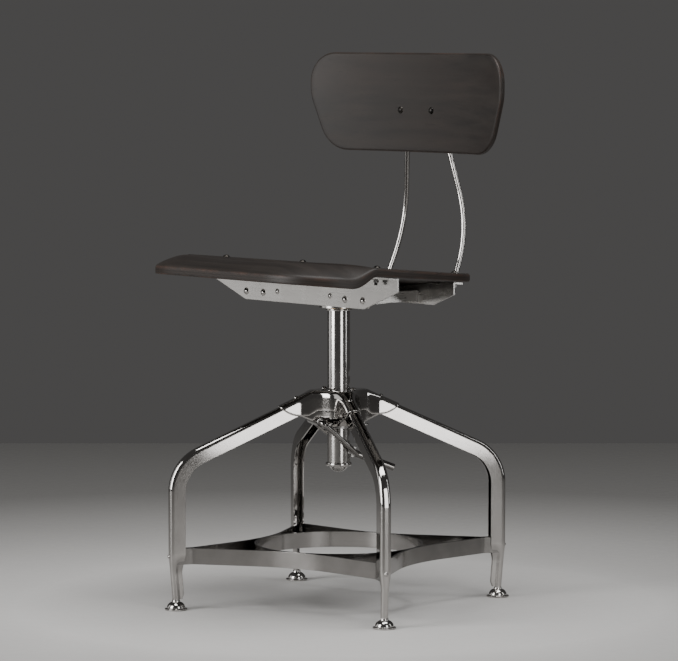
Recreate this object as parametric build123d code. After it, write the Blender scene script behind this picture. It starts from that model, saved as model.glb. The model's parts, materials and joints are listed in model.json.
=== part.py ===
from build123d import *
import math
import os

# Height-adjustable swivel chair, in millimetres, +Z up, seat facing -Y.
# The origin is on the floor, on the swivel axis. The four-legged base and its latch are drawn
# with the right-hand leg along +X and then turned to stand at BASE_YAW under the seat.

# ---- driving dimensions ----
BASE_YAW = 65.2
LEG_COUNT = 4
QUARTER = 360 / LEG_COUNT

# legs: pressed channels with a rounded outer web
LEG_W, LEG_DEPTH, LEG_T, LEG_CORNER = 17.0, 24.5, 1.8, 6.5
LEG_R = 268.0                    # outer web of the upright part
LEG_SLOPE = 0.4515               # fall of the upper part, per unit of radius
LEG_HIP_Z = 227.9                # where the upright and sloping lines would meet
LEG_BEND_R = 74.0
LEG_END_R = 44.0                 # inner end, under the hub cap
FOOT_R = 257.0                   # radius of the glides' circle
FOOT_TOP_Z = 15.5                # lower end of the legs
ANKLE_Z = 82.0                   # below this the leg closes to a round end
ANKLE_TUBE_R, STEM_R = 5.7, 4.0
GLIDE_R = 17.5

# foot ring and braces: flat strip on edge
STRIP_T, STRIP_Z0, STRIP_H = 3.0, 70.0, 24.5
RING_R = 130.0
BRACE_ANGLE, BRACE_BEND_R = 15.8, 260.0
TAB_Y = 5.0                      # centre line of a brace end inside the leg
BRACE_RIVET_R = 2.2
LEAN_ROOM = 1.15                 # gap left for the web, which leans in below the braces

# hub
CAP_TOP, CAP_T, CAP_W = 332.0, 2.0, 10.8
CAP_SCOOP, CAP_REACH = 55.0, 97.0
PAN_W, PAN_Z, PAN_FLAT_R, PAN_SLOPE, PAN_REACH = 8.6, 276.0, 24.0, 0.41, 64.0
SLEEVE_R, BUSH_R = 21.0, 19.0
SLEEVE_Z0, LOW_LIP_Z = 274.5, 272.5
ARM_RIVET_AT, HUB_BOLT_AT = 68.0, 25.6

# post and its rack
POST_R, POST_BORE = 17.5, 10.0
POST_Z0, POST_Z1 = 219.5, 453.4
RUN_FIT = 0.05
NOTCH_COUNT, NOTCH_PITCH, NOTCH_Z = 7, 20.0, 238.4
NOTCH_H, NOTCH_DEPTH, NOTCH_RISE = 13.0, 5.7, 6.9
FLANGE_R, FLANGE_TOP = 20.5, 456.4
SPINDLE_R, SPINDLE_TOP = 10.0, 486.0

# latch lever
PIVOT_X, PIVOT_Z = -36.0, 284.0
PIVOT_TUBE_R, PIVOT_HALF = 7.0, 30.0
ROD_R = 4.0
ARM_SLOPE, GRIP_SLOPE = 0.832, 0.385
GRIP_R, GRIP_X0, GRIP_X1 = 5.6, 25.0, 88.5
JOIN_X, JOIN_Z = 27.0, 231.6
TOOTH_W = 8.0
STOP_X, STOP_Z0, STOP_Z1 = 41.0, 267.0, 288.0

# seat frame
FRAME_Z = 466.0
PLATE_T = 3.0
FRONT_Y, REAR_Y = -70.0, 67.8    # outer face of the front bracket, inner face of the rear one
FLANGE_D = 19.0
FRONT_HALF, REAR_HALF, BRACKET_FLAT = 218.0, 188.0, 141.0
CHAMFER_TAN = 0.378
BOLT_X, OUTER_BOLT_X, RIVET_X = 97.5, 139.0, 63.0
BOLT_Z, RIVET_Z, REAR_RIVET_Z = 478.6, 482.0, 477.5
BEAM_X0, BEAM_X1, BEAM_Z0, BEAM_Z1, BEAM_T = 58.0, 107.0, 470.0, 486.5, 2.5
ROD_X, ROD_Z, CLAMP_BOLT_X = 80.0, 476.7, 11.0

# seat panel
SEAT_T, SEAT_PLANE, SEAT_TILT = 13.0, 523.0, 0.091
DISH, DISH_HALF, DISH_FADE_FROM, DISH_FADE_TO = 17.0, 195.0, 92.0, 236.0
NOSE_DROP, REAR_LIFT = 20.0, 8.0
SCREW_X, SCREW_Y = 180.0, 77.0

# backrest
BACK_R, BACK_Y, BACK_T = 902.0, 157.0, 9.8
BACK_SCREW_X, BACK_SCREW_Z = 36.0, 757.0

os.makedirs("parts", exist_ok=True)


# ---- helpers ----
def save(name, *solids):
    """Write one node, made of one or more separate solids."""
    pieces = [s for shape in solids for s in shape.solids()]
    shape = pieces[0] if len(pieces) == 1 else Compound(children=pieces)
    export_step(shape, f"parts/{name}.step")


def around(shape, step=QUARTER, first=0.0):
    """Four copies of a shape about the swivel axis."""
    return [Rot(0, 0, first + step * i) * shape for i in range(LEG_COUNT)]


def on_base(*shapes):
    """Turn base pieces from their drawing direction to where the base stands."""
    return [Rot(0, 0, BASE_YAW) * s for s in shapes]


def dome(radius, height):
    """Spherical cap standing on the XY plane."""
    ball = (radius**2 + height**2) / (2 * height)
    half = math.asin(radius / ball) / 2
    middle = (ball * math.sin(half), 0, height - ball + ball * math.cos(half))
    outline = [
        Line((0, 0, 0), (radius, 0, 0)),
        ThreePointArc((radius, 0, 0), middle, (0, 0, height)),
        Line((0, 0, height), (0, 0, 0)),
    ]
    return revolve(make_face(outline), Axis.Z)


def dome_bolt(head_r, head_h, shank_r, length, tail_r=0.0, tail_h=0.0):
    """Domed head above the XY plane, shank below it, and a round tail if wanted."""
    bolt = dome(head_r, head_h) + Pos(0, 0, -length / 2) * Cylinder(shank_r, length)
    if tail_h:
        bolt += Pos(0, 0, -length - tail_h / 2) * Cylinder(tail_r, tail_h)
    return bolt


def ring(outer, inner, z0, z1):
    tube = Cylinder(outer, z1 - z0) - Cylinder(inner, z1 - z0)
    return Pos(0, 0, (z0 + z1) / 2) * tube


def disc(radius, z0, z1):
    return Pos(0, 0, (z0 + z1) / 2) * Cylinder(radius, z1 - z0)


def hex_nut(across, z0, z1, bore):
    face = RegularPolygon(across / 2, 6, major_radius=False) - Circle(bore)
    return Pos(0, 0, z0) * extrude(face, z1 - z0)


def side_prism(points, half_width):
    """A polygon in the XZ plane, drawn out along Y to both sides."""
    face = make_face(Polyline(*[(x, 0, z) for x, z in points], close=True))
    return extrude(face, half_width, dir=(0, 1, 0), both=True)


def channel_face(width, depth, corner):
    """Filled U: closed end on the local X axis, open end at +Y."""
    half = width / 2
    bend = FilletPolyline((-half, depth), (-half, 0), (half, 0), (half, depth), radius=corner)
    return make_face([bend, Line((half, depth), (-half, depth))])


def rounded_mirror(corners):
    """Face symmetric about X = 0 from its right-hand corners, each (x, y, corner radius)."""
    right = [(x, y) for x, y, r in corners]
    face = Polygon(*right, *[(-x, y) for x, y in reversed(right)], align=None)
    for x, y, radius in corners:
        at_corner = [v for v in face.vertices() if abs(abs(v.X) - x) < 0.01 and abs(v.Y - y) < 0.01]
        face = fillet(at_corner, radius)
    return face


def leg_line(r):
    """Height of the outer web of the sloping part at radius r."""
    return LEG_HIP_Z + (LEG_R - r) * LEG_SLOPE


def foot_axis(z):
    """Radius of the round lower end's centre line at height z."""
    lean = (LEG_R - ANKLE_TUBE_R - FOOT_R) / (ANKLE_Z - 8)
    return FOOT_R + (z - 8) * lean


def foot_rod(radius, z0, z1):
    """A cylinder along the centre line of the leg's round lower end."""
    low, high = Vector(foot_axis(z0), 0, z0), Vector(foot_axis(z1), 0, z1)
    return Plane(origin=low, z_dir=high - low) * extrude(Circle(radius), (high - low).length)


# ---- legs, glides ----
def leg():
    path = FilletPolyline(
        (foot_axis(FOOT_TOP_Z) + ANKLE_TUBE_R, 0, FOOT_TOP_Z),
        (LEG_R, 0, ANKLE_Z),
        (LEG_R, 0, LEG_HIP_Z),
        (LEG_END_R - 8, 0, leg_line(LEG_END_R - 8)),
        radius=[20, LEG_BEND_R],
    )
    inner_w = LEG_W - 2 * LEG_T
    section = channel_face(LEG_W, LEG_DEPTH, LEG_CORNER) - Pos(0, LEG_T) * channel_face(
        inner_w, LEG_DEPTH * 2, LEG_CORNER - LEG_T
    )
    start = Plane(origin=path @ 0, x_dir=(0, 1, 0), z_dir=path % 0)
    body = sweep(start * section, path=path)
    body -= Pos(LEG_END_R - 50, 0, 320) * Box(100, 60, 120)
    # the flanks run out towards the round end
    swoosh = make_face(
        [
            Polyline((242, 0, 84), (225, 0, 84), (225, 0, 0), (253.5, 0, 0), (253.5, 0, 58)),
            Spline((253.5, 0, 58), (249, 0, 70), (242, 0, 84), tangents=[(0, 0, 1), (-1, 0, 1)]),
        ]
    )
    body -= extrude(swoosh, 20, dir=(0, 1, 0), both=True)
    for side in (-1, 1):
        profile = ((ANKLE_TUBE_R, 0), (ANKLE_TUBE_R, 56), (8.6, 80), (20, 80), (20, 0))
        outline = [(side * y, z) for y, z in profile]
        face = make_face(Polyline(*[(230, y, z) for y, z in outline], close=True))
        body -= extrude(face, 60, dir=(1, 0, 0))
    ankle = foot_rod(ANKLE_TUBE_R, FOOT_TOP_Z, ANKLE_Z - 13)
    tail = make_face(
        FilletPolyline(
            (258, 0, 17), (246, 0, 17), (244, 0, 40), (247, 0, 69), (261, 0, 69), (258, 0, 17),
            radius=3,
            close=True,
        )
    )
    body += ankle + extrude(tail, 1.6, dir=(0, 1, 0), both=True)
    body -= foot_rod(STEM_R, FOOT_TOP_Z - 5, 46)
    body -= Pos(0, 0, FOOT_TOP_Z - 20) * Box(700, 60, 40)
    body -= rivet_axis() * Pos(0, 0, -5) * Cylinder(BRACE_RIVET_R, 16)
    return body - arm_rivet_axis() * Cylinder(2.0, 16)


def rivet_axis():
    """Radial plane on the outer web at the braces' height."""
    return Plane(origin=(LEG_R, 0, STRIP_Z0 + STRIP_H / 2), z_dir=(1, 0, 0))


def glide():
    """Domed steel glide on a flat foot, bored for its stem."""
    profile = make_face(
        [
            Polyline((0, 0, 0), (16.5, 0, 0), (GLIDE_R, 0, 0.9), (GLIDE_R, 0, 2.4), (14.2, 0, 3.4)),
            Spline((14.2, 0, 3.4), (12.4, 0, 8.6), (6.6, 0, 12.6), tangents=[(0, 0, 1), (-1, 0, 0.25)]),
            Polyline((6.6, 0, 12.6), (6.2, 0, 15.0), (0, 0, 15.0), (0, 0, 0)),
        ]
    )
    body = Pos(FOOT_R, 0, 0) * revolve(profile, Axis.Z)
    return body - foot_rod(STEM_R, 5, 30)


def make_legs():
    names = ("right", "rear", "left", "front")
    for name, one, pad in zip(names, around(leg()), around(glide())):
        save(f"leg_{name}", *on_base(one))
        save(f"foot_glide_{name}", *on_base(pad))
    save("glide_stems", *on_base(*around(foot_rod(STEM_R, 5, 44))))


# ---- foot ring, braces ----
def brace():
    """One strip from the leg on +X to the leg on +Y, curved round the foot ring."""
    turn = math.radians(BRACE_ANGLE)
    apex = RING_R + STRIP_T / 2 - BRACE_BEND_R * (1 / math.cos(turn) - 1)
    reach = (apex / math.sqrt(2) - TAB_Y) / math.sin(math.pi / 4 - turn)
    bend_x = apex / math.sqrt(2) + reach * math.cos(math.pi / 4 - turn)
    lip_a = LEG_R - LEG_T - LEAN_ROOM - STRIP_T / 2
    lip_b = lip_a - STRIP_T - 0.9
    points = [(lip_a, -2.8), (lip_a, TAB_Y), (bend_x, TAB_Y), (apex / math.sqrt(2),) * 2]
    points += [(TAB_Y, bend_x), (TAB_Y, lip_b), (-3.0, lip_b)]
    path = FilletPolyline(*points, radius=[3.2, 12, BRACE_BEND_R, 12, 3.2])
    start = Plane(origin=path @ 0, x_dir=(0, 0, 1), z_dir=path % 0)
    strip = sweep(start * Rectangle(STRIP_H, STRIP_T), path=path)
    strip = Pos(0, 0, STRIP_Z0 + STRIP_H / 2) * strip
    drill = rivet_axis() * Pos(0, 0, -5) * Cylinder(BRACE_RIVET_R, 16)
    return strip - drill - Rot(0, 0, 90) * drill


def make_foot_ring():
    save("foot_ring", *on_base(ring(RING_R, RING_R - STRIP_T, STRIP_Z0, STRIP_Z0 + STRIP_H)))
    names = ("right_rear", "rear_left", "left_front", "front_right")
    for name, strip in zip(names, around(brace())):
        save(f"brace_{name}", *on_base(strip))
    shank = LEG_T + LEAN_ROOM + 2 * STRIP_T + 1.05
    rivet = rivet_axis() * dome_bolt(3.1, 2.0, BRACE_RIVET_R, shank, 2.8, 1.4)
    save("brace_rivets", *on_base(*around(rivet)))


# ---- hub ----
def star(half_width, scoop, reach):
    """Four-armed plan outline with hollow sides."""
    cross = Rectangle(2 * reach, 2 * half_width) + Rectangle(2 * half_width, 2 * reach)
    inner = [v for v in cross.vertices() if Vector(v.X, v.Y, 0).length < 2 * half_width]
    return fillet(inner, scoop)


def crossed(points):
    """The space under (or over) the same side outline seen from X and from Y."""
    one = side_prism(points, 130)
    return one & Rot(0, 0, 90) * one


def cap_shape(inset, corner):
    """Solid shape of the hub cap, set in from its outside by a wall."""
    top = CAP_TOP - inset
    rise = (CAP_T + 0.3 - inset) * math.hypot(1, LEG_SLOPE)
    edge = LEG_R - (top - rise - LEG_HIP_Z) / LEG_SLOPE
    end = CAP_REACH + 3 + inset
    low = leg_line(end) + rise
    roof = crossed([(-end, 260), (end, 260), (end, low), (edge, top), (-edge, top), (-end, low)])
    plan = star(CAP_W - inset, CAP_SCOOP + inset, end + 5)
    body = roof & Pos(0, 0, 262) * extrude(plan, 90)
    rims = [e for e in body.edges() if e.center().Z > leg_line(end) - 3 and not on_end(e, end)]
    return fillet(rims, corner)


def on_end(edge, end):
    """True for an edge on an arm's end face or running straight down."""
    c = edge.center()
    upright = abs((edge % 0.5).Z) > 0.9
    return upright or max(abs(c.X), abs(c.Y)) > end - 0.5


def arm_skirt():
    """Side outline of an arm of the cap: a hanging flank with a rounded open end."""
    flank = [Polyline((30, 0, 300), (38, 0, 300), (50, 0, 292), (60, 0, 291.5))]
    flank.append(ThreePointArc((60, 0, 291.5), (82, 0, 296), (CAP_REACH, 0, 309)))
    flank.append(Polyline((CAP_REACH, 0, 309), (CAP_REACH, 0, 345), (30, 0, 345), (30, 0, 300)))
    return extrude(make_face(flank), 18, dir=(0, 1, 0), both=True)


def hub_cap():
    skirt = Pos(0, 0, 322.5) * Box(84, 84, 45)
    for arm in around(arm_skirt()):
        skirt += arm
    shell = (cap_shape(0, 8.2) - cap_shape(CAP_T, 6.2)) & skirt
    shell -= disc(BUSH_R, 300, 345)
    for hole in around(arm_rivet_axis() * Cylinder(2.0, 16)):
        shell -= hole
    for hole in around(Pos(HUB_BOLT_AT, 0, CAP_TOP) * Cylinder(3, 20), first=45):
        shell -= hole
    return shell


def pan_shape(inset):
    lift = inset * math.hypot(1, PAN_SLOPE)
    end = PAN_REACH + inset
    low = PAN_Z + inset
    rim = PAN_Z + lift + (end - PAN_FLAT_R) * PAN_SLOPE
    dish = crossed(
        [
            (-PAN_FLAT_R, low),
            (PAN_FLAT_R, low),
            (end, rim),
            (end, 304 + inset),
            (-end, 304 + inset),
            (-end, rim),
        ]
    )
    plan = star(PAN_W - inset, CAP_SCOOP + CAP_W - PAN_W + inset, 90)
    return dish & Pos(0, 0, 262) * extrude(plan, 60)


def hub_pan():
    depth = LEG_DEPTH * math.hypot(1, LEG_SLOPE)
    inner, low = LEG_END_R - 0.6, leg_line(LEG_END_R) - depth - 0.4
    room = side_prism([(inner, 340), (inner, low), (90, leg_line(90) - depth - 0.4), (90, 340)], PAN_W + 1)
    pan = pan_shape(0) - pan_shape(CAP_T) - disc(SLEEVE_R, 260, 300)
    for leg_room in around(room):
        pan -= leg_room
    for hole in around(Pos(HUB_BOLT_AT, 0, PAN_Z) * Cylinder(3, 20), first=45):
        pan -= hole
    pan -= Pos(PIVOT_X, 0, PIVOT_Z) * Rot(90, 0, 0) * Cylinder(PIVOT_TUBE_R + 0.03, 80)
    return pan - Pos(STOP_X, 0, 285) * Cylinder(1.6, 20)


def arm_rivet_axis():
    """Plane on top of an arm, square to its slope."""
    rise = (CAP_T + 0.3) * math.hypot(1, LEG_SLOPE)
    top = (ARM_RIVET_AT, 0, leg_line(ARM_RIVET_AT) + rise)
    return Plane(origin=top, z_dir=(LEG_SLOPE, 0, 1))


def make_hub():
    save("hub_cap", *on_base(hub_cap()))
    save("hub_pan", *on_base(hub_pan()))
    save("guide_sleeve", *on_base(ring(SLEEVE_R, BUSH_R, SLEEVE_Z0, CAP_TOP - CAP_T - 0.1)))
    fit = POST_R + RUN_FIT
    save("upper_bush", *on_base(ring(BUSH_R, fit, 312, CAP_TOP + 0.2)))
    lower = ring(BUSH_R, fit, LOW_LIP_Z, 292) + ring(SLEEVE_R, fit, LOW_LIP_Z, SLEEVE_Z0)
    save("lower_bush", *on_base(lower))
    rivet = arm_rivet_axis() * dome_bolt(3.5, 2.2, 2.0, CAP_T + LEG_T + 0.6, 3.2, 1.3)
    save("hub_arm_rivets", *on_base(*around(rivet)))
    bolt = Pos(HUB_BOLT_AT, 0, CAP_TOP) * dome_bolt(4.7, 3.4, 3.0, CAP_TOP - 269.5)
    save("hub_bolts", *on_base(*around(bolt, first=45)))
    nut = Pos(HUB_BOLT_AT, 0, 0) * Rot(0, 0, 30) * hex_nut(8.4, 271, PAN_Z - 0.1, 3.0)
    save("hub_nuts", *on_base(*around(nut, first=45)))
    tube = Cylinder(PIVOT_TUBE_R, 2 * PIVOT_HALF) - Cylinder(ROD_R + RUN_FIT, 2 * PIVOT_HALF)
    save("lever_pivot_tube", *on_base(Pos(PIVOT_X, 0, PIVOT_Z) * Rot(90, 0, 0) * tube))
    stop = disc(1.6, STOP_Z0, STOP_Z1) + disc(6.5, 275.6, 277.6) + disc(3.2, 286.3, STOP_Z1)
    save("stop_screw", *on_base(Pos(STOP_X, 0, 0) * stop))


# ---- post ----
def make_post():
    post = ring(POST_R, POST_BORE, POST_Z0, POST_Z1)
    inner = POST_R - NOTCH_DEPTH
    for i in range(NOTCH_COUNT):
        z = NOTCH_Z + NOTCH_PITCH * i
        low, high = z - NOTCH_H / 2, z + NOTCH_H / 2
        out = NOTCH_RISE / NOTCH_DEPTH
        outline = [(inner, low), (inner, high - NOTCH_RISE), (POST_R, high), (POST_R + 3, high + 3 * out)]
        post -= side_prism(outline + [(POST_R + 3, low)], 25)
    save("post_tube", *on_base(post))
    cap = disc(20, 213.5, POST_Z0)
    cap = fillet(cap.edges(), 2.2) + disc(POST_BORE, POST_Z0 - 2, POST_Z0 + 16)
    cap += Pos(0, 0, 213.5) * Rot(180, 0, 0) * dome(14.5, 9.5)
    save("post_end_cap", *on_base(cap))
    spindle = disc(FLANGE_R, POST_Z1, FLANGE_TOP)
    spindle = fillet(spindle.edges(), 1.2)
    spindle += disc(POST_BORE, POST_Z1 - 26, POST_Z1 + 1) + disc(SPINDLE_R, POST_Z1, SPINDLE_TOP)
    save("swivel_spindle", spindle)
    save("thrust_washer", ring(19.5, SPINDLE_R, FLANGE_TOP, FLANGE_TOP + 1.2))
    save("spindle_nut", hex_nut(28, 480.6, SPINDLE_TOP - 0.6, SPINDLE_R))


# ---- latch lever ----
def arm_z(x):
    return JOIN_Z + (JOIN_X - x) * ARM_SLOPE


def lever_bail():
    """Bent rod: through the pivot tube, with an arm each side of the post."""
    half = [(JOIN_X, 9.7), (9, 23.2), (-20, 33.0), (PIVOT_X, 38.6)]
    points = [(x, -y, arm_z(x)) for x, y in half] + [(x, y, arm_z(x)) for x, y in reversed(half)]
    path = FilletPolyline(*points, radius=[14, 30, 6.5, 6.5, 30, 14])
    start = Plane(origin=path @ 0, z_dir=path % 0)
    return sweep(start * Circle(ROD_R), path=path)


def lever_tooth():
    """Plate that enters a notch, on the end of the grip."""
    low = NOTCH_Z - NOTCH_H / 2 + 0.5
    inner = POST_R - NOTCH_DEPTH + 0.6
    top = NOTCH_Z + NOTCH_H / 2 - 1.6
    points = [
        (inner, low),
        (inner, top - NOTCH_RISE + 0.2),
        (POST_R - 0.2, top),
        (26.6, top - 1.5),
        (26.6, grip_z(26.6) + 5.2),
        (22.8, grip_z(26.6) - 5.2),
        (19.2, grip_z(26.6) - 5.2),
        (POST_R + 0.5, low),
    ]
    return side_prism(points, TOOTH_W / 2)


def grip_z(x):
    return JOIN_Z + (JOIN_X - x) * GRIP_SLOPE


def make_lever():
    save("lever_bail", *on_base(lever_bail()))
    low, high = Vector(GRIP_X0, 0, grip_z(GRIP_X0)), Vector(GRIP_X1, 0, grip_z(GRIP_X1))
    bar = extrude(Circle(GRIP_R), (high - low).length)
    bar = fillet(bar.edges().sort_by(Axis.Z)[-1], 1.6)
    save("lever_grip", *on_base(Plane(origin=low, z_dir=high - low) * bar))
    save("lever_tooth", *on_base(lever_tooth()))


# ---- seat frame ----
def dish_line(drop):
    """Crosswise curve of the seat panel, lowered by drop."""
    across = [DISH_HALF * (i / 8 - 1) for i in range(17)]
    points = [(x, 0, -DISH * (0.5 + 0.5 * math.cos(math.pi * x / DISH_HALF)) - drop) for x in across]
    middle = Spline(*points, tangents=[(1, 0, 0), (1, 0, 0)])
    ends = [Line((-245, 0, -drop), points[0]), Line(points[-1], (245, 0, -drop))]
    return Wire([ends[0], *middle.edges(), ends[1]])


def under_seat(half, drop_to, z_shift):
    """Face in the XZ plane from a level line up to a curve parallel to the dish."""
    curve = dish_line(z_shift)
    sides = [
        Line(curve @ 1, (245, 0, drop_to)),
        Line((245, 0, drop_to), (-245, 0, drop_to)),
        Line((-245, 0, drop_to), curve @ 0),
    ]
    face = make_face([*curve.edges(), *sides])
    return face & Plane.XZ * Rectangle(2 * half, 600)


def bracket(face_y, outward, half, bolts):
    """Cross plate with sloping ends and a seat flange that follows the panel's underside."""
    gap = 0.6
    top = SEAT_PLANE - SEAT_TILT * face_y - SEAT_T * 1.005 - gap
    blank = under_seat(half, FRAME_Z - top, 0)
    plate = Pos(0, face_y, top) * extrude(blank, PLATE_T, dir=(0, outward, 0))
    run = half - BRACKET_FLAT
    for side in (-1, 1):
        corner = [(BRACKET_FLAT, 460), (BRACKET_FLAT, FRAME_Z)]
        corner += [(half + 5, FRAME_Z + (run + 5) * CHAMFER_TAN), (half + 5, 460)]
        plate -= Pos(0, face_y, 0) * side_prism([(side * x, z) for x, z in corner], 12)
    rim = under_seat(half, -60, 0) - under_seat(half, -60, PLATE_T)
    reach = Vector(0, outward, -outward * SEAT_TILT)
    flange = Pos(0, face_y, top) * extrude(rim, FLANGE_D, dir=reach)
    body = plate + flange
    for x, z, radius in bolts:
        body -= Pos(x, face_y, z) * Rot(90, 0, 0) * Cylinder(radius, 16)
    return body


def seat_frame_positions():
    large = [(s * x, BOLT_Z, 3.0) for s in (-1, 1) for x in (BOLT_X, OUTER_BOLT_X)]
    rear = [(s * BOLT_X, BOLT_Z, 3.0) for s in (-1, 1)]
    small = [(s * RIVET_X, RIVET_Z, 2.2) for s in (-1, 1)]
    rear_small = [(s * RIVET_X, REAR_RIVET_Z, 2.2) for s in (-1, 1)]
    return large, rear, small, rear_small


def beam(side):
    """Inward-facing channel with a tab at each end for the brackets."""
    width, height = BEAM_X1 - BEAM_X0, BEAM_Z1 - BEAM_Z0
    y0, y1 = FRONT_Y + PLATE_T + BEAM_T, REAR_Y - BEAM_T
    outer = Box(width, y1 - y0, height)
    inner = Pos(-BEAM_T, 0, 0) * Box(width, y1 - y0, height - 2 * BEAM_T)
    body = Pos((BEAM_X0 + BEAM_X1) / 2, (y0 + y1) / 2, (BEAM_Z0 + BEAM_Z1) / 2) * (outer - inner)
    z0, z1 = FRAME_Z + 1, BEAM_Z1
    for y, x1, in ((y0 - BEAM_T / 2, 149), (y1 + BEAM_T / 2, 112)):
        tab = RectangleRounded(x1 - BEAM_X0 + 1, z1 - z0, 3.5)
        plane = Plane(origin=((x1 + BEAM_X0 - 1) / 2, y, (z0 + z1) / 2), x_dir=(1, 0, 0), z_dir=(0, -1, 0))
        body += plane * extrude(tab, BEAM_T / 2, both=True)
    return body if side > 0 else mirror(body, Plane.YZ)


def drill_y(body, x, z, radius):
    return body - Pos(x, 0, z) * Rot(90, 0, 0) * Cylinder(radius, 400)


def clamp_ys():
    return (-12.0, 44.0)


def make_seat_frame():
    large, rear, small, rear_small = seat_frame_positions()
    front = bracket(FRONT_Y + PLATE_T, -1, FRONT_HALF, large + small)
    back = bracket(REAR_Y, 1, REAR_HALF, rear + rear_small)
    screws = [(s * SCREW_X, y) for s in (-1, 1) for y in (-SCREW_Y, SCREW_Y)]
    for x, y in screws:
        front -= screw_plane(x, y) * Cylinder(2.5, 60)
        back -= screw_plane(x, y) * Cylinder(2.5, 60)
    for side, name in ((-1, "left"), (1, "right")):
        back = drill_y(back, side * ROD_X, ROD_Z, ROD_R + 0.2)
        one = beam(side)
        for x, z, radius in large + small:
            one -= Pos(x, FRONT_Y + PLATE_T, z) * Rot(90, 0, 0) * Cylinder(radius, 16)
        for x, z, radius in rear + rear_small:
            one -= Pos(x, REAR_Y, z) * Rot(90, 0, 0) * Cylinder(radius, 16)
        for x, z, radius in small:
            one -= Pos(x, FRONT_Y + PLATE_T + BEAM_T + 1.5, z) * Rot(90, 0, 0) * Cylinder(4.0, 3)
        one -= Pos(side * ROD_X, REAR_Y, ROD_Z) * Rot(90, 0, 0) * Cylinder(ROD_R + 0.2, 20)
        for x, y in plate_rivets() + clamp_bolts():
            one -= Pos(x, y, BEAM_Z0) * Cylinder(2.2, 8)
        save(f"seat_beam_{name}", one)
    save("front_bracket", front)
    save("rear_bracket", back)

    at_front = Plane(origin=(0, FRONT_Y, 0), x_dir=(1, 0, 0), z_dir=(0, -1, 0))
    at_rear = Plane(origin=(0, REAR_Y + PLATE_T, 0), x_dir=(-1, 0, 0), z_dir=(0, 1, 0))
    grip = PLATE_T + BEAM_T
    big = dome_bolt(5.6, 3.6, 3.0, grip + 7)
    nut = Pos(0, 0, -grip - 5.2) * hex_nut(10, 0, 5.1, 3.0)
    front_bolts = [at_front * Pos(x, z, 0) * big for x, z, r in large]
    rear_bolts = [at_rear * Pos(x, z, 0) * big for x, z, r in rear]
    save("front_bracket_bolts", *front_bolts)
    save("rear_bracket_bolts", *rear_bolts)
    nuts = [at_front * Pos(x, z, 0) * nut for x, z, r in large]
    save("bracket_nuts", *nuts, *[at_rear * Pos(x, z, 0) * nut for x, z, r in rear])
    rivet = dome_bolt(4.3, 2.6, 2.2, grip, 3.6, 1.6)
    front_rivets = [at_front * Pos(x, z, 0) * rivet for x, z, r in small]
    save("bracket_rivets", *front_rivets, *[at_rear * Pos(x, z, 0) * rivet for x, z, r in rear_small])

    plate = Pos(0, 0, BEAM_Z0 - 2) * Box(150, 66, 4) - disc(20, 460, 480)
    for x, y in plate_rivets():
        plate -= Pos(x, y, BEAM_Z0) * Cylinder(2.2, 20)
    for x, y in housing_screws():
        plate -= Pos(x, y, BEAM_Z0) * Cylinder(2.0, 20)
    save("centre_plate", plate)
    through = 4 + BEAM_T
    flat_rivet = Pos(0, 0, FRAME_Z) * (Pos(0, 0, through / 2) * Cylinder(2.2, through))
    flat_rivet += Pos(0, 0, BEAM_Z0 + BEAM_T) * dome(4.0, 2.2)
    save("centre_plate_rivets", *[Pos(x, y, 0) * flat_rivet for x, y in plate_rivets()])
    low, fit = FLANGE_TOP + 1.5, SPINDLE_R + RUN_FIT
    housing = ring(30, fit, low, FRAME_Z) + ring(20, fit, low, 480)
    for x, y in housing_screws():
        housing -= Pos(x, y, 463) * Cylinder(2.0, 12)
    save("swivel_housing", housing)
    screw = Pos(0, 0, BEAM_Z0) * dome_bolt(3.8, 2.2, 2.0, 9)
    save("housing_screws", *[Pos(x, y, 0) * screw for x, y in housing_screws()])


def plate_rivets():
    return [(sx * 66.5, sy * 24) for sx in (-1, 1) for sy in (-1, 1)]


def housing_screws():
    return [(sx * 17.8, sy * 17.8) for sx in (-1, 1) for sy in (-1, 1)]


def clamp_bolts():
    rows = [ROD_X - CLAMP_BOLT_X, ROD_X + CLAMP_BOLT_X]
    return [(sx * x, y) for sx in (-1, 1) for x in rows for y in clamp_ys()]


def make_rod_clamps():
    floor = BEAM_Z0 + BEAM_T
    saddle = saddle_arch()
    for dx in (-CLAMP_BOLT_X, CLAMP_BOLT_X):
        saddle -= Pos(dx, 0, 0) * Cylinder(2.2, 30)
    places = [(sx * ROD_X, y) for sx in (-1, 1) for y in clamp_ys()]
    save("rod_clamps", *[Pos(x, y, floor) * saddle for x, y in places])
    bolt = Pos(0, 0, floor + 2.5) * dome_bolt(3.6, 2.2, 2.2, 4.95)
    save("rod_clamp_bolts", *[Pos(x, y, 0) * bolt for x, y in clamp_bolts()])


def saddle_arch():
    """Strap bent over a rod, with a flat foot on each side."""
    rise = ROD_Z - BEAM_Z0 - BEAM_T
    strap = 2.5
    feet = Pos(0, 0, strap / 2) * Box(31, 14, strap)
    arch = Pos(0, 0, rise) * Rot(90, 0, 0) * Cylinder(ROD_R + strap, 14)
    arch += Pos(0, 0, rise / 2) * Box(2 * (ROD_R + strap), 14, rise)
    bore = Pos(0, 0, rise) * Rot(90, 0, 0) * Cylinder(ROD_R, 16)
    bore += Pos(0, 0, rise / 2 - 1) * Box(2 * ROD_R, 16, rise + 2)
    return feet + arch - bore - Pos(0, 0, -10) * Box(40, 20, 20)


# ---- seat panel ----
def screw_plane(x, y):
    """Plane on the seat's upper face, square to it."""
    return Plane(origin=(x, y, SEAT_PLANE - SEAT_TILT * y + 0.25), z_dir=(0, SEAT_TILT, 1))


def seat_outline():
    return rounded_mirror([(212, -241, 118), (233, -62, 260), (189, 155, 140)])


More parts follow.
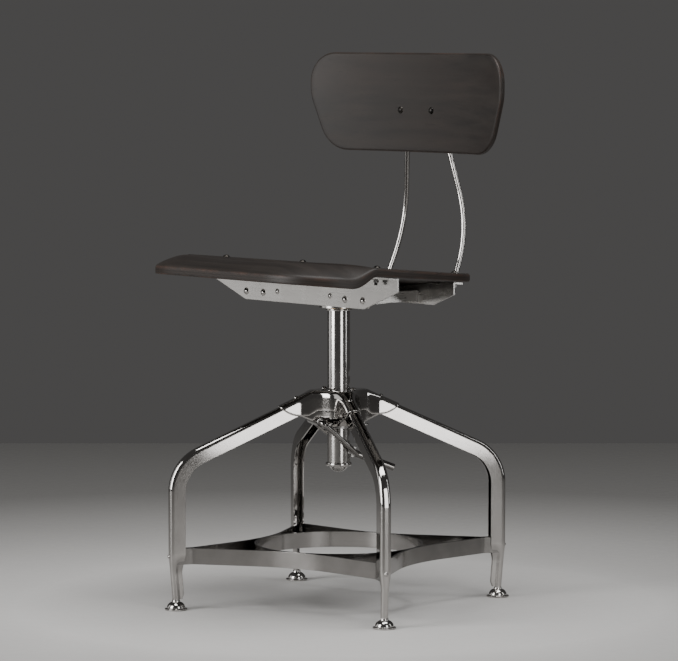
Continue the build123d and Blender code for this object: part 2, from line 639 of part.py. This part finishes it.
def seat_height(x, y):
    """Height of the seat's upper face: tilted, dished across, with a rolled front and a raised rear."""
    z = SEAT_PLANE - SEAT_TILT * y
    spread = min(abs(x) / DISH_HALF, 1)
    ahead = min(max((-y - DISH_FADE_FROM) / (DISH_FADE_TO - DISH_FADE_FROM), 0), 1)
    z -= DISH * (0.5 + 0.5 * math.cos(math.pi * spread)) * (1 - ahead**2 * (3 - 2 * ahead))
    beside = min(max((-y - 60) / 100, 0), 1)
    out = math.hypot(max(abs(x) - 107, 0) * beside**2 * (3 - 2 * beside), max(-y - 123, 0))
    z -= NOSE_DROP * (max(out - 70, 0) / 48) ** 1.5
    return z + REAR_LIFT * (max(y - 88, 0) / 67) ** 2


def seat_depth(x, y):
    """Upright thickness of the seat, so that it is SEAT_T thick measured square to its face."""
    dx = seat_height(x + 0.5, y) - seat_height(x - 0.5, y)
    dy = seat_height(x, y + 0.5) - seat_height(x, y - 0.5)
    return SEAT_T * math.sqrt(1 + dx**2 + dy**2)


def seat_section(y):
    xs = [-247 + 494 * i / 24 for i in range(25)]
    upper = Spline(*[(x, y, seat_height(x, y)) for x in xs])
    lower = Spline(*[(x, y, seat_height(x, y) - seat_depth(x, y)) for x in xs])
    return make_face([upper, Line(upper @ 1, lower @ 1), lower, Line(lower @ 0, upper @ 0)])


def seat_panel():
    stations = [-262 + 14 * i for i in range(10)]
    stations += [-115, -85, -50, -15, 20, 50, 75]
    stations += [90 + 14 * i for i in range(7)]
    blank = loft([seat_section(y) for y in stations])
    board = blank & Pos(0, 0, 440) * extrude(seat_outline(), 140)
    for sx in (-1, 1):
        for y in (-SCREW_Y, SCREW_Y):
            board -= screw_plane(sx * SCREW_X, y) * Cylinder(2.5, 60)
    return board


def make_seat():
    save("seat_panel", seat_panel())
    places = [(sx * SCREW_X, y) for sx in (-1, 1) for y in (-SCREW_Y, SCREW_Y)]
    screw = dome_bolt(5.6, 3.2, 2.5, 26)
    save("seat_screws", *[screw_plane(x, y) * screw for x, y in places])
    nut = hex_nut(7.6, -21.9, -17.9, 2.5)
    save("seat_screw_nuts", *[screw_plane(x, y) * nut for x, y in places])


# ---- backrest ----
def back_rod(side):
    points = [(ROD_X, -28, ROD_Z), (ROD_X, 159, ROD_Z), (73.5, 200, 578), (33.5, 170.4, 770)]
    path = FilletPolyline(*[(side * x, y, z) for x, y, z in points], radius=[36, 200])
    start = Plane(origin=path @ 0, z_dir=path % 0)
    rod = sweep(start * Circle(ROD_R), path=path)
    return rod - back_screw_plane(side) * Cylinder(2.2, 60)


def back_face_y(x):
    """Front face of the backrest at a distance x from the middle."""
    return BACK_Y - BACK_R + math.sqrt(BACK_R**2 - x**2)


def back_screw_plane(side):
    x = side * BACK_SCREW_X
    lean = x / math.sqrt(BACK_R**2 - x**2)
    return Plane(origin=(x, back_face_y(x) - 0.1, BACK_SCREW_Z), z_dir=(-lean, -1, 0))


def backrest_panel():
    outline = rounded_mirror([(225, 846, 46), (224.5, 778, 60), (190, 692, 55)])
    block = Pos(0, 200, 0) * Rot(90, 0, 0) * extrude(outline, 140, dir=(0, 0, 1))
    centre_y = BACK_Y - BACK_R
    shell = ring(BACK_R + BACK_T, BACK_R, 680, 860)
    panel = block & Pos(0, centre_y, 0) * shell
    for side in (-1, 1):
        panel -= back_screw_plane(side) * Cylinder(2.2, 60)
    return panel


def make_backrest():
    save("backrest_panel", backrest_panel())
    save("back_rod_left", back_rod(-1))
    save("back_rod_right", back_rod(1))
    screw = dome_bolt(5.6, 3.2, 2.2, 27)
    save("backrest_screws", *[back_screw_plane(s) * screw for s in (-1, 1)])
    spacer = Pos(0, 0, -BACK_T - 0.8) * (Cylinder(6.5, 1.0) - Cylinder(2.2, 1.0))
    save("backrest_spacers", *[back_screw_plane(s) * spacer for s in (-1, 1)])
    nut = Pos(0, 0, 0) * hex_nut(8, -25.2, -21.0, 2.2)
    save("backrest_nuts", *[back_screw_plane(s) * nut for s in (-1, 1)])


make_legs()
make_foot_ring()
make_hub()
make_post()
make_lever()
make_seat_frame()
make_rod_clamps()
make_seat()
make_backrest()
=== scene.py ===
import json
import math

import bpy
import numpy as np
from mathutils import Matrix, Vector

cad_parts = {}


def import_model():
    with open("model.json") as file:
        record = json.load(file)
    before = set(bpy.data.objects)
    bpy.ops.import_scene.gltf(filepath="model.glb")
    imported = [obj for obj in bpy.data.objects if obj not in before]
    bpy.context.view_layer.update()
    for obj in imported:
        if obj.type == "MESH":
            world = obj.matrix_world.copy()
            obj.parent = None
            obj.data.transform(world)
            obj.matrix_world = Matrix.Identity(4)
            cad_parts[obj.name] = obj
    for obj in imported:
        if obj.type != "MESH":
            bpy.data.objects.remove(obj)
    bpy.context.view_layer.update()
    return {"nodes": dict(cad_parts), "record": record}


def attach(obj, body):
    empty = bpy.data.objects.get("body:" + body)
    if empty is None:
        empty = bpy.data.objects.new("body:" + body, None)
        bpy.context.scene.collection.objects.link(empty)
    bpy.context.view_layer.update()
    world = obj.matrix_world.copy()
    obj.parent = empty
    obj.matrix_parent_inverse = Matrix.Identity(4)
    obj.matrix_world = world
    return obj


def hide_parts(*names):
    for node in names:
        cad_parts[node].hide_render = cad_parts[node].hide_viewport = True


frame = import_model()
MM = 0.001
YAW = math.radians(65.2)  # turn of the leg square
SEAT_T, BACK_T = 13.0, 9.8
SEAT_ROUND, BACK_ROUND = 4.0, 3.4
BACK_R, BACK_Y = 902.0, 157.0
WEB_R, BEND_R, BEND_Z, LEG_SLOPE = 268.0, 74.0, 227.9, 0.4515


# ---- shader helpers ----
class Shader:
    """A material's nodes, made by short calls."""

    def __init__(self, name):
        self.mat = bpy.data.materials.new(name)
        self.mat.use_nodes = True
        self.tree = self.mat.node_tree
        self.bsdf = self.tree.nodes["Principled BSDF"]
        self.coords = self.tree.nodes.new("ShaderNodeTexCoord").outputs["Object"]

    def node(self, kind, inputs=None, **settings):
        made = self.tree.nodes.new(kind)
        for key, value in settings.items():
            setattr(made, key, value)
        for key, value in (inputs or {}).items():
            self.put(made.inputs[key], value)
        return made

    def put(self, socket, value):
        if isinstance(value, bpy.types.NodeSocket):
            self.tree.links.new(value, socket)
        else:
            socket.default_value = value

    def scaled(self, size, turn=(0, 0, 0)):
        placed = {"Vector": self.coords, "Rotation": turn, "Scale": size}
        return self.node("ShaderNodeMapping", placed).outputs["Vector"]

    def noise(self, size, scale=1.0, detail=4.0, rough=0.55, turn=(0, 0, 0)):
        made = self.node(
            "ShaderNodeTexNoise",
            {"Vector": self.scaled(size, turn), "Scale": scale, "Detail": detail, "Roughness": rough},
        )
        return made.outputs["Fac"]

    def span(self, value, low, high, out_low, out_high):
        made = self.node(
            "ShaderNodeMapRange",
            {"Value": value, "From Min": low, "From Max": high, "To Min": out_low, "To Max": out_high},
        )
        return made.outputs["Result"]

    def math(self, operation, a, b=0.0):
        made = self.node("ShaderNodeMath", operation=operation)
        self.put(made.inputs[0], a)
        self.put(made.inputs[1], b)
        return made.outputs[0]

    def mix(self, factor, a, b):
        made = self.node("ShaderNodeMix", data_type="RGBA")
        self.put(made.inputs[0], factor)
        self.put(made.inputs[6], a)
        self.put(made.inputs[7], b)
        return made.outputs[2]

    def bump(self, height, strength, distance, edge=0.0):
        normal = None
        if edge:
            normal = self.node("ShaderNodeBevel", {"Radius": edge}, samples=4).outputs["Normal"]
        relief = {"Height": height, "Strength": strength, "Distance": distance}
        made = self.node("ShaderNodeBump", relief)
        if normal:
            self.put(made.inputs["Normal"], normal)
        self.put(self.bsdf.inputs["Normal"], made.outputs["Normal"])


def plated(name, tint, rough, brush=None, edge=0.0006, patch=0.25):
    """Plated metal: soft patches, hairline scratches, edges rounded and a little brighter."""
    s = Shader(name)
    patches = s.noise((14, 14, 14), detail=5.0)
    fine = s.noise((260, 260, 260), detail=3.0)
    hair_a = s.noise((900, 40, 900), detail=2.0, turn=(0.3, 0.5, 0.4))
    hair_b = s.noise((40, 900, 700), detail=2.0, turn=(0.9, 0.2, 1.3))
    hairs = s.math("MAXIMUM", s.span(hair_a, 0.62, 0.74, 0, 1), s.span(hair_b, 0.64, 0.76, 0, 1))
    worn = s.span(patches, 0.35, 0.7, 0, 1)
    dark = tuple(c * (1 - patch) for c in tint) + (1,)
    light = tuple(min(1.0, c * (1 + patch * 0.5)) for c in tint) + (1,)
    s.put(s.bsdf.inputs["Base Color"], s.mix(worn, dark, light))
    s.put(s.bsdf.inputs["Metallic"], 1.0)
    body = s.span(patches, 0.3, 0.75, rough * 0.7, rough * 1.5)
    level = s.math("ADD", body, s.math("MULTIPLY", hairs, 0.07))
    if brush:
        lines = s.noise(brush, detail=3.0, rough=0.7)
        level = s.math("ADD", level, s.span(lines, 0.3, 0.7, -0.02, 0.04))
        height = s.math("ADD", s.math("MULTIPLY", lines, 0.6), s.math("MULTIPLY", fine, 0.2))
        s.bump(height, 0.05, 0.0002, edge)
    else:
        height = s.math("ADD", s.math("MULTIPLY", fine, 0.25), s.math("MULTIPLY", hairs, -0.4))
        s.bump(height, 0.015, 0.0002, edge)
    s.put(s.bsdf.inputs["Roughness"], s.math("MAXIMUM", level, 0.03))
    return s.mat


def dark_wood(name, grain, cross):
    """Espresso-stained wood: fine dark pores along the grain, and a rim worn to red-brown."""
    s = Shader(name)
    figure = s.noise(grain, scale=1.0, detail=8.0, rough=0.62)
    pores = s.noise(tuple(g * 4.0 for g in grain), scale=1.0, detail=4.0, rough=0.7)
    cloud = s.noise(cross, scale=1.0, detail=3.0)
    stain_dark, stain_light = (0.0100, 0.0082, 0.0072, 1), (0.0190, 0.0150, 0.0125, 1)
    base = s.mix(s.span(figure, 0.36, 0.66, 0, 1), stain_dark, stain_light)
    base = s.mix(s.span(cloud, 0.45, 0.75, 0, 0.3), base, (0.034, 0.021, 0.015, 1))
    base = s.mix(s.span(pores, 0.58, 0.70, 0, 0.75), base, (0.006, 0.004, 0.0035, 1))
    rim = s.node("ShaderNodeAttribute", attribute_name="rim").outputs["Fac"]
    ply = s.node("ShaderNodeAttribute", attribute_name="ply").outputs["Fac"]
    layers = s.math("PINGPONG", s.math("MULTIPLY", ply, 9.0), 1.0)
    edge = s.mix(s.span(layers, 0.2, 0.8, 0, 1), (0.010, 0.0075, 0.006, 1), (0.024, 0.0165, 0.0125, 1))
    base = s.mix(s.math("MULTIPLY", s.span(rim, 0.75, 1.0, 0, 1), 0.8), base, edge)
    rub = s.noise((30, 30, 30), detail=6.0, rough=0.7)
    corner = s.math("MULTIPLY", s.span(rim, 0.15, 0.6, 0, 1), s.span(rim, 0.95, 0.65, 0, 1))
    worn = s.math("MULTIPLY", corner, s.span(rub, 0.42, 0.66, 0.05, 0.6))
    s.put(s.bsdf.inputs["Base Color"], s.mix(worn, base, (0.060, 0.030, 0.020, 1)))
    smear = s.noise((9, 9, 9), detail=4.0)
    level = s.math("ADD", s.span(smear, 0.3, 0.7, 0.44, 0.56), s.span(figure, 0.3, 0.7, -0.04, 0.05))
    s.put(s.bsdf.inputs["Roughness"], level)
    s.put(s.bsdf.inputs["Specular IOR Level"], 0.3)
    s.put(s.bsdf.inputs["Coat Weight"], 0.04)
    s.put(s.bsdf.inputs["Coat Roughness"], 0.35)
    height = s.math("ADD", s.math("MULTIPLY", figure, 0.7), s.math("MULTIPLY", pores, -0.6))
    s.bump(height, 0.16, 0.0003)
    return s.mat


def blackened(name):
    """Blackened steel, rubbed brighter in patches."""
    s = Shader(name)
    rub = s.noise((120, 120, 120), detail=5.0)
    black, rubbed = (0.012, 0.011, 0.010, 1), (0.09, 0.08, 0.07, 1)
    s.put(s.bsdf.inputs["Base Color"], s.mix(s.span(rub, 0.45, 0.7, 0, 1), black, rubbed))
    s.put(s.bsdf.inputs["Metallic"], 0.85)
    s.put(s.bsdf.inputs["Roughness"], s.span(rub, 0.3, 0.7, 0.22, 0.42))
    s.bump(rub, 0.15, 0.0002, 0.0005)
    return s.mat


SMOKE = (0.40, 0.385, 0.37)
LOOKS = {
    "dome_plate": plated("dome_plate", (0.40, 0.385, 0.37), 0.08),
    "leg_plate": plated("leg_plate", SMOKE, 0.07, edge=0.0007, patch=0.15),
    "strip_plate": plated("strip_plate", (0.25, 0.24, 0.23), 0.13, brush=(6, 6, 900)),
    "ring_plate": plated("ring_plate", (0.28, 0.27, 0.26), 0.11, brush=(8, 8, 700)),
    "glide_plate": plated("glide_plate", (0.44, 0.425, 0.41), 0.10, patch=0.3),
    "hub_plate": plated("hub_plate", (0.42, 0.405, 0.39), 0.07, edge=0.0, patch=0.12),
    "post_plate": plated("post_plate", (0.54, 0.52, 0.50), 0.12, brush=(10, 10, 500)),
    # lever_plate's tint is set darker than the other smoke chrome as painted shade: it stands in for the
    # dark reflections the lever would get from a dark floor, since the floor here is pale
    "lever_plate": plated("lever_plate", (0.24, 0.23, 0.22), 0.09),
    "rod_plate": plated("rod_plate", (0.54, 0.52, 0.50), 0.07),
    "frame_plate": plated("frame_plate", (0.46, 0.445, 0.425), 0.24, brush=(12, 12, 420), patch=0.12),
    "steel_raw": plated("steel_raw", (0.34, 0.33, 0.32), 0.32, patch=0.4),
    "bronze": plated("bronze", (0.42, 0.29, 0.15), 0.3),
    "steel_dark": blackened("steel_dark"),
    "seat_wood": dark_wood("seat_wood", (3, 70, 70), (1.2, 7, 7)),
    "back_wood": dark_wood("back_wood", (3, 70, 70), (1.2, 7, 7)),
}


def smooth_by_angle(mesh, degrees):
    """Smooth shading, with edges sharper than the angle kept sharp."""
    mesh.polygons.foreach_set("use_smooth", [True] * len(mesh.polygons))
    mesh.set_sharp_from_angle(angle=math.radians(degrees))


SLOTS = {s["node"]: s["material_slot"] for s in frame["record"]["subparts"]}
FINER = {name: "dome_plate" for name in ("front_bracket_bolts", "rear_bracket_bolts", "bracket_rivets")}
for name, obj in frame["nodes"].items():
    obj.data.materials.clear()
    obj.data.materials.append(LOOKS[FINER.get(name, SLOTS[name])])


# ---- mesh helpers ----
def make_mesh(name, points, faces, look, body, node, values=None, angle=40):
    """A mesh from points in millimetres, riding a body and shown in place of a CAD node."""
    mesh = bpy.data.meshes.new(name)
    mesh.from_pydata([tuple(p) for p in np.asarray(points) * MM], [], faces)
    mesh.validate()
    for key, data in (values or {}).items():
        layer = mesh.attributes.new(key, "FLOAT", "POINT")
        layer.data.foreach_set("value", np.asarray(data, np.float32))
    smooth_by_angle(mesh, angle)
    mesh.materials.append(LOOKS[look])
    obj = bpy.data.objects.new(name, mesh)
    bpy.context.scene.collection.objects.link(obj)
    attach(obj, body)
    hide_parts(node)
    return obj


def rounded(corners, radii, per_corner=14, gap=6.0):
    """Closed outline of a polygon with rounded corners, as evenly spaced points."""
    count, out = len(corners), []
    pts = [np.array(c, float) for c in corners]
    for i in range(count):
        a, b, c = pts[i - 1], pts[i], pts[(i + 1) % count]
        u, v = (a - b) / np.linalg.norm(a - b), (c - b) / np.linalg.norm(c - b)
        half = math.acos(np.clip(u @ v, -1, 1)) / 2
        centre = b + (u + v) / np.linalg.norm(u + v) * radii[i] / math.sin(half)
        start, stop = b + u * radii[i] / math.tan(half), b + v * radii[i] / math.tan(half)
        a0 = math.atan2(*(start - centre)[::-1])
        sweep = (math.atan2(*(stop - centre)[::-1]) - a0 + math.pi) % (2 * math.pi) - math.pi
        for k in range(per_corner + 1):
            t = a0 + sweep * k / per_corner
            out.append(centre + radii[i] * np.array([math.cos(t), math.sin(t)]))
    dense = np.array(out + out[:1])
    steps = np.r_[0, np.cumsum(np.linalg.norm(np.diff(dense, axis=0), axis=1))]
    number = int(steps[-1] / gap)
    at = np.linspace(0, steps[-1], number, endpoint=False)
    return np.c_[np.interp(at, steps, dense[:, 0]), np.interp(at, steps, dense[:, 1])]


def outward(loop):
    ahead = np.roll(loop, -1, 0) - np.roll(loop, 1, 0)
    normal = np.c_[ahead[:, 1], -ahead[:, 0]]
    normal /= np.linalg.norm(normal, axis=1)[:, None]
    return normal if ((loop - loop.mean(0)) * normal).sum() > 0 else -normal


def board(loop, centre, round_r, rings, steps=6):
    """Rings of a board's plan, as (plan points, how deep through 0..1, drop from a face, rim) tuples."""
    normal = outward(loop)
    layers = []
    for k in np.linspace(0, 1, rings, endpoint=False)[1:]:
        inner = loop - normal * round_r
        layers.append((centre + (inner - centre) * math.sqrt(k), 0.0, 0.0, 0.0))
    for k in range(steps + 1):
        a = math.pi / 2 * k / steps
        inset = round_r * (1 - math.sin(a))
        layers.append((loop - normal * inset, 0.0, round_r * (1 - math.cos(a)), math.sin(a) ** 2 * 0.8))
    for k in range(1, 6):
        layers.append((loop, k / 6, 0.0, 1.0))
    for plan, deep, drop, rim in reversed(layers[: rings - 1 + steps + 1]):
        layers.append((plan, 1.0, -drop, rim))
    return layers


def board_mesh(name, loop, centre, round_r, top_of, bottom_of, place, look, body, node, rings=26):
    """A curved board with rounded rims. top_of and bottom_of give the faces over the plan."""
    layers = board(loop, centre, round_r, rings)
    points, rim, ply = [], [], []
    size = len(loop)

    def add(plan, deep, drop, edge):
        top, bottom = top_of(plan), bottom_of(plan)
        if 0 < deep < 1:
            high, low = top - round_r, bottom + round_r
            level = high + (low - high) * deep
        else:
            level = (top if deep == 0 else bottom) - drop
        points.extend(place(plan, level))
        rim.extend([edge] * len(plan))
        ply.extend((top - level) / (top - bottom))

    add(np.array([centre]), 0.0, 0.0, 0.0)
    for plan, deep, drop, edge in layers:
        add(plan, deep, drop, edge)
    add(np.array([centre]), 1.0, 0.0, 0.0)
    faces = [(0, 1 + i, 1 + (i + 1) % size) for i in range(size)]
    for row in range(len(layers) - 1):
        a, b = 1 + row * size, 1 + (row + 1) * size
        for i in range(size):
            j = (i + 1) % size
            faces.append((a + i, b + i, b + j, a + j))
    last, a = len(points) - 1, 1 + (len(layers) - 1) * size
    faces += [(a + i, last, a + (i + 1) % size) for i in range(size)]
    return make_mesh(name, points, faces, look, body, node, {"rim": rim, "ply": ply}, angle=180)


# ---- seat and backrest ----
def ease(value, low, high):
    t = np.clip((value - low) / (high - low), 0, 1)
    return t * t * (3 - 2 * t)


def seat_height(x, y):
    """Upper face of the seat: tilted, dished across, rolled over at the front and raised at the rear."""
    z = 523 - 0.091 * y
    spread = np.minimum(np.abs(x) / 195, 1)
    z = z - 17 * (0.5 + 0.5 * np.cos(np.pi * spread)) * (1 - ease(-y, 92, 236))
    out = np.hypot(np.maximum(np.abs(x) - 107, 0) * ease(-y, 60, 160), np.maximum(-y - 123, 0))
    z = z - 20 * (np.maximum(out - 70, 0) / 48) ** 1.5
    return z + 8 * (np.maximum(y - 88, 0) / 67) ** 2


def seat():
    half = [(212, -241), (233, -62), (189, 155)]
    corners = half + [(-x, y) for x, y in reversed(half)]
    loop = rounded(corners, [118, 260, 140, 140, 260, 118])

    def top(plan):
        return seat_height(plan[:, 0], plan[:, 1])

    def bottom(plan):
        x, y = plan[:, 0], plan[:, 1]
        dx = seat_height(x + 0.5, y) - seat_height(x - 0.5, y)
        dy = seat_height(x, y + 0.5) - seat_height(x, y - 0.5)
        return top(plan) - SEAT_T * np.sqrt(1 + dx**2 + dy**2)

    def place(plan, level):
        return np.c_[plan, level]

    board_mesh(
        "seat_board", loop, np.array([0.0, -30.0]), SEAT_ROUND, top, bottom, place,
        "seat_wood", "seat", "seat_panel", 44,
    )


def backrest():
    half = [(225, 846), (224.5, 778), (190, 692)]
    corners = half + [(-x, z) for x, z in reversed(half)]
    loop = rounded(corners, [46, 60, 55, 55, 60, 46], gap=4.0)

    def front(plan):
        return -(BACK_Y - BACK_R + np.sqrt(BACK_R**2 - plan[:, 0] ** 2))

    def rear(plan):
        return -(BACK_Y - BACK_R + np.sqrt((BACK_R + BACK_T) ** 2 - plan[:, 0] ** 2))

    def place(plan, level):
        return np.c_[plan[:, 0], -level, plan[:, 1]]

    board_mesh(
        "back_board", loop, np.array([0.0, 769.0]), BACK_ROUND, front, rear, place,
        "back_wood", "seat", "backrest_panel", 22,
    )


# ---- legs ----
def evenly(points, count):
    steps = np.r_[0, np.cumsum(np.linalg.norm(np.diff(points, axis=0), axis=1))]
    at = np.linspace(0, steps[-1], count)
    return np.c_[np.interp(at, steps, points[:, 0]), np.interp(at, steps, points[:, 1])]


def open_channel(count):
    """Half of the channel's outline, from the middle of its web to the end of one flank."""
    arc = [(6.5 - 6.5 * math.cos(a), 2.0 + 6.5 * math.sin(a)) for a in np.linspace(0, math.pi / 2, 14)]
    return evenly(np.array([(0.0, 0.0), *arc, (24.5, 8.5)]), count)


def keyhole(depth, count):
    """Half outline of the closed lower end: a round front and a pinched tail."""
    arc = [(5.7 - 5.7 * math.cos(a), 5.7 * math.sin(a)) for a in np.linspace(0, 2.35, 22)]
    tail = [(11.2, 3.05), (12.6, 2.75), (depth - 1.0, 2.7), (depth, 2.3)]
    return evenly(np.array([*arc, *tail]), count)


def leg_path():
    """Stations up the outer web: radius, height, and direction of travel."""
    a0, slope = math.atan2(66.5, 5.5), math.atan2(-LEG_SLOPE, 1.0) + math.pi
    low = [(262.5 + 5.5 * t, 15.5 + 66.5 * t, a0) for t in np.linspace(0, 0.92, 34)]
    up = math.pi / 2
    knee = [(267.9, 80.0, math.radians(87)), (WEB_R, 84.0, up - 0.005), (WEB_R, 88.0, up)]
    turn = slope - up
    reach = BEND_R * math.tan(turn / 2)
    bend = []
    for t in np.linspace(0, 1, 30):
        a = turn * t
        r, z = WEB_R - BEND_R + BEND_R * math.cos(a), BEND_Z - reach + BEND_R * math.sin(a)
        bend.append((r, z, up + a))
    top = [(r, BEND_Z + (WEB_R - r) * LEG_SLOPE, slope) for r in np.linspace(bend[-1][0] - 12, 46, 12)]
    return low + knee + [(WEB_R, z, up) for z in np.linspace(100, 227 - reach, 8)] + bend + top


def offset_inward(outline, thick):
    ahead = np.gradient(outline, axis=0)
    ahead /= np.linalg.norm(ahead, axis=1)[:, None]
    return outline + np.c_[ahead[:, 1], -ahead[:, 0]] * thick


def leg(name, angle, count=34):
    half_u = open_channel(count)
    points, faces = [], []
    rows = leg_path()
    for r, z, heading in rows:
        closed = 1 - ease(np.array(z), 54.0, 86.0)
        end = 18.2 - 3.2 * (1 - ease(np.array(z), 15.0, 24.0)) if z < 80 else 18.2
        side = half_u * (1 - closed) + keyhole(float(end), count) * closed
        outline = np.r_[side[::-1] * (1, -1), side[1:]]
        inner = offset_inward(outline, 1.8 - 0.2 * closed)
        ring = np.r_[outline, inner[::-1]]
        t = np.array([math.cos(heading), math.sin(heading)])
        inward = np.array([-t[1], t[0]])
        radius = r + inward[0] * ring[:, 0]
        height = z + inward[1] * ring[:, 0]
        c, s = math.cos(angle), math.sin(angle)
        points.extend(np.c_[radius * c - ring[:, 1] * s, radius * s + ring[:, 1] * c, height])
    size = len(ring)
    for k in range(len(rows) - 1):
        for i in range(size):
            j = (i + 1) % size
            faces.append((k * size + i, k * size + j, (k + 1) * size + j, (k + 1) * size + i))
    half = size // 2
    for k, flip in ((0, False), (len(rows) - 1, True)):
        for i in range(half - 1):
            quad = (k * size + i, k * size + size - 1 - i, k * size + size - 2 - i, k * size + i + 1)
            faces.append(quad if flip else quad[::-1])
    return make_mesh(name + "_channel", points, faces, "leg_plate", "base", name, angle=45)


seat()
backrest()
for step, leg_name in enumerate(("leg_right", "leg_rear", "leg_left", "leg_front")):
    leg(leg_name, YAW + step * math.pi / 2)


# ---- stage ----
CAMERA_RIGHT, CAMERA_TOWARD = Vector((0.643, 0.766, 0)), Vector((0.766, -0.643, 0))


def paper(name, pale, dark, rough, outer):
    """Matt studio paper that darkens to an outer tone with distance from the object."""
    s = Shader(name)
    grain = s.noise((60, 60, 60), detail=4.0)
    cloud = s.noise((1.6, 1.6, 1.6), detail=5.0, rough=0.6)
    tone = s.mix(s.span(cloud, 0.3, 0.7, 0, 1), dark, pale)
    away = s.node("ShaderNodeVectorMath", {"Vector": s.coords}, operation="LENGTH").outputs["Value"]
    tone = s.mix(s.math("POWER", s.span(away, 0.5, 1.45, 0, 1), 0.7), tone, outer)
    s.put(s.bsdf.inputs["Base Color"], tone)
    s.put(s.bsdf.inputs["Roughness"], s.span(grain, 0.3, 0.7, rough - 0.07, rough + 0.07))
    return s.mat


def pressed(node, voxel, passes, look, body):
    """A pressed sheet's CAD node remeshed finely and smoothed, so its bends are soft."""
    source = frame["nodes"][node]
    obj = bpy.data.objects.new(node + "_pressed", source.data.copy())
    obj.matrix_world = source.matrix_world.copy()
    bpy.context.scene.collection.objects.link(obj)
    grid = obj.modifiers.new("grid", "REMESH")
    grid.mode = "VOXEL"
    grid.voxel_size = voxel
    soften = obj.modifiers.new("soften", "SMOOTH")
    soften.factor = 0.5
    soften.iterations = passes
    seen = obj.evaluated_get(bpy.context.evaluated_depsgraph_get())
    mesh = bpy.data.meshes.new_from_object(seen)
    obj.modifiers.clear()
    obj.data = mesh
    mesh.polygons.foreach_set("use_smooth", [True] * len(mesh.polygons))
    mesh.materials.clear()
    mesh.materials.append(LOOKS[look])
    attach(obj, body)
    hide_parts(node)


def stage_sheet(name, profile, half_width, look):
    """A sheet along a side profile of (distance away from the camera, height) points."""
    away, across = -CAMERA_TOWARD, CAMERA_RIGHT
    points, faces = [], []
    for d, z in profile:
        for w in (-half_width, half_width):
            points.append(tuple(away * d + across * w + Vector((0, 0, z))))
    for i in range(len(profile) - 1):
        faces.append((2 * i, 2 * i + 1, 2 * i + 3, 2 * i + 2))
    mesh = bpy.data.meshes.new(name)
    mesh.from_pydata(points, [], faces)
    smooth_by_angle(mesh, 60)
    mesh.materials.append(look)
    obj = bpy.data.objects.new(name, mesh)
    bpy.context.scene.collection.objects.link(obj)


def stage():
    """A pale floor with an even grey surround beyond its far edge."""
    pale, dark, outer = (0.54, 0.53, 0.515, 1), (0.50, 0.49, 0.48, 1), (0.17, 0.166, 0.16, 1)
    look = paper("pale_paper", pale, dark, 0.6, outer)
    stage_sheet("studio_floor", [(-3.4, 0.0), (2.25, 0.0)], 3.4, look)


def area(name, at, aim, size, power, tint):
    data = bpy.data.lights.new(name, "AREA")
    data.shape = "RECTANGLE"
    data.size, data.size_y = size
    data.energy = power
    data.color = tint
    lamp = bpy.data.objects.new(name, data)
    lamp.location = at
    lamp.rotation_euler = (Vector(aim) - Vector(at)).to_track_quat("-Z", "Y").to_euler()
    bpy.context.scene.collection.objects.link(lamp)


def camera():
    toward = CAMERA_TOWARD.normalized()
    data = bpy.data.cameras.new("camera")
    data.sensor_width = 36.0
    data.lens = 3787 / 678 * 36
    data.shift_x = 1 / 678
    data.clip_end = 50
    cam = bpy.data.objects.new("camera", data)
    cam.location = toward * 5.79 + Vector((0, 0, 0.886))
    cam.rotation_euler = (math.pi / 2 - math.radians(4.582), 0, math.radians(50.0))
    bpy.context.scene.collection.objects.link(cam)
    bpy.context.scene.camera = cam


def world():
    made = bpy.data.worlds.new("studio")
    made.use_nodes = True
    back = made.node_tree.nodes["Background"]
    back.inputs["Color"].default_value = (0.080, 0.078, 0.077, 1)
    back.inputs["Strength"].default_value = 0.9
    bpy.context.scene.world = made


def frame_direction(right, toward, up):
    """A point given by its place to the camera's right, towards it, and up."""
    return tuple(CAMERA_RIGHT * right + CAMERA_TOWARD * toward + Vector((0, 0, up)))


pressed("hub_cap", 0.0009, 24, "hub_plate", "base")
pressed("hub_pan", 0.0009, 16, "hub_plate", "base")
stage()
world()
camera()
# name, place (right, toward, up), aim, size, power, tint
LAMPS = [
    ("key", (-2.4, 1.4, 1.25), (0, 0, 0.7), (1.3, 2.3), 95, (1, 1, 1)),
    ("left", (-2.3, -0.45, 0.85), (0, 0, 0.5), (0.9, 1.5), 5.0, (1, 1, 1)),
    ("flank", (0.98, 1.62, 0.72), (0, 0, 0.72), (0.6, 1.4), 13, (1, 1, 1)),
    ("side", (2.6, 0.4, 1.2), (0, 0, 0.4), (0.3, 2.2), 9, (0.97, 0.985, 1.0)),
    ("top", (0.2, 0.5, 2.9), (0, 0.1, 0.3), (2.2, 1.2), 75, (1, 1, 1)),
]
for name, at, aim, size, power, tint in LAMPS:
    area(name, frame_direction(*at), frame_direction(*aim), size, power, tint)
